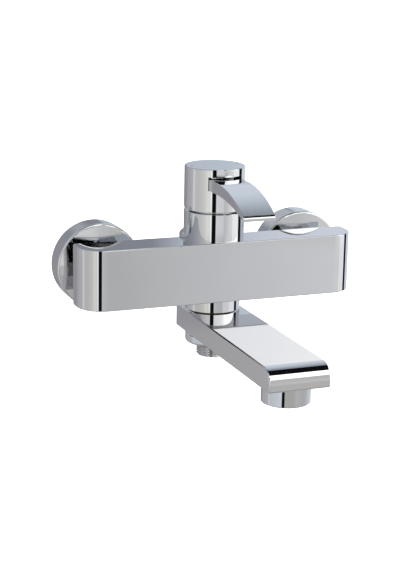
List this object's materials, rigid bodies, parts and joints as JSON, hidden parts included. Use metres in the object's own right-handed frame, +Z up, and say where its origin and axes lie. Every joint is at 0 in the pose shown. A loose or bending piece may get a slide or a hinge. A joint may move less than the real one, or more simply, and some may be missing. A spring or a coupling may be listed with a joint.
{
  "type": "wall mounted bath faucet",
  "caption": "Chromed wall mounted bath and shower mixer: flat bar body on round rosettes, round lever column, flat swivel spout with aerator, and a threaded shower outlet below.",
  "frame": {"origin": "midway between the two wall threads, on the finished wall's face", "axes": "+X to the right along the wall, +Y into the wall, +Z up; the lever and the spout point along -Y"},
  "size_m": [0.209, 0.2005, 0.1334],
  "materials": {
    "chrome": "polished chrome plate",
    "brass": "machined",
    "steel": "turned",
    "white_plastic": "moulded",
    "ceramic": "lapped ceramic",
    "rubber": "matt",
    "slip_plastic": "matt",
    "aerator_plastic": "moulded",
    "plug_plastic": "gloss",
    "hot_mark": "enamel",
    "cold_mark": "enamel"
  },
  "bodies": {
    "mixer": {"mixer_body": "chrome", "rosette_left": "chrome", "rosette_right": "chrome", "union_nut_left": "chrome", "union_nut_right": "chrome", "dome_ring": "chrome", "spout_nut": "chrome", "shower_nipple": "chrome", "wall_union_left": "brass", "wall_union_right": "brass", "inlet_tailpiece_left": "brass", "inlet_tailpiece_right": "brass", "cartridge_ring_nut": "brass", "outlet_stem": "brass", "cartridge_base": "white_plastic", "cartridge_housing": "white_plastic", "check_valve_left": "white_plastic", "check_valve_right": "white_plastic", "fixed_disc": "ceramic", "union_washer_left": "rubber", "union_washer_right": "rubber", "port_seals": "rubber", "stem_o_rings": "rubber", "upper_slip_ring": "slip_plastic", "lower_slip_ring": "slip_plastic"},
    "carrier": {"stem_carrier": "white_plastic", "stem_pin": "steel"},
    "handle": {"cartridge_stem": "steel", "handle_cap": "chrome", "lever": "chrome", "lever_screw": "steel", "grub_screw": "steel", "access_plug": "plug_plastic", "hot_dot": "hot_mark", "cold_dot": "cold_mark"},
    "disc": {"moving_disc": "ceramic", "disc_driver": "white_plastic"},
    "spout": {"spout_body": "chrome", "spout_key": "steel", "diverter_spool": "white_plastic", "aerator_housing": "chrome", "aerator_insert": "aerator_plastic", "aerator_washer": "rubber"}
  },
  "joints": [
    {"name": "temperature_turn", "type": "hinge", "parent": "mixer", "child": "carrier", "pos_m": [0, -0.0366, 0.0456], "axis": [0, 0, 1], "range_deg": [-50, 50]},
    {"name": "lever_lift", "type": "hinge", "parent": "carrier", "child": "handle", "pos_m": [0, -0.0366, 0.0456], "axis": [-1, 0, 0], "range_deg": [0, 20]},
    {"name": "disc_slide", "type": "slide", "parent": "carrier", "child": "disc", "axis": [0, -1, 0], "range_m": [0, 0.00415]},
    {"name": "spout_swing", "type": "hinge", "parent": "mixer", "child": "spout", "pos_m": [0, -0.0366, -0.0288], "axis": [0, 0, 1], "range_deg": [-60, 60]}
  ],
  "couplings": [
    {"joint": "disc_slide", "follows": "lever_lift", "m_per_rad": 0.011758}
  ]
}
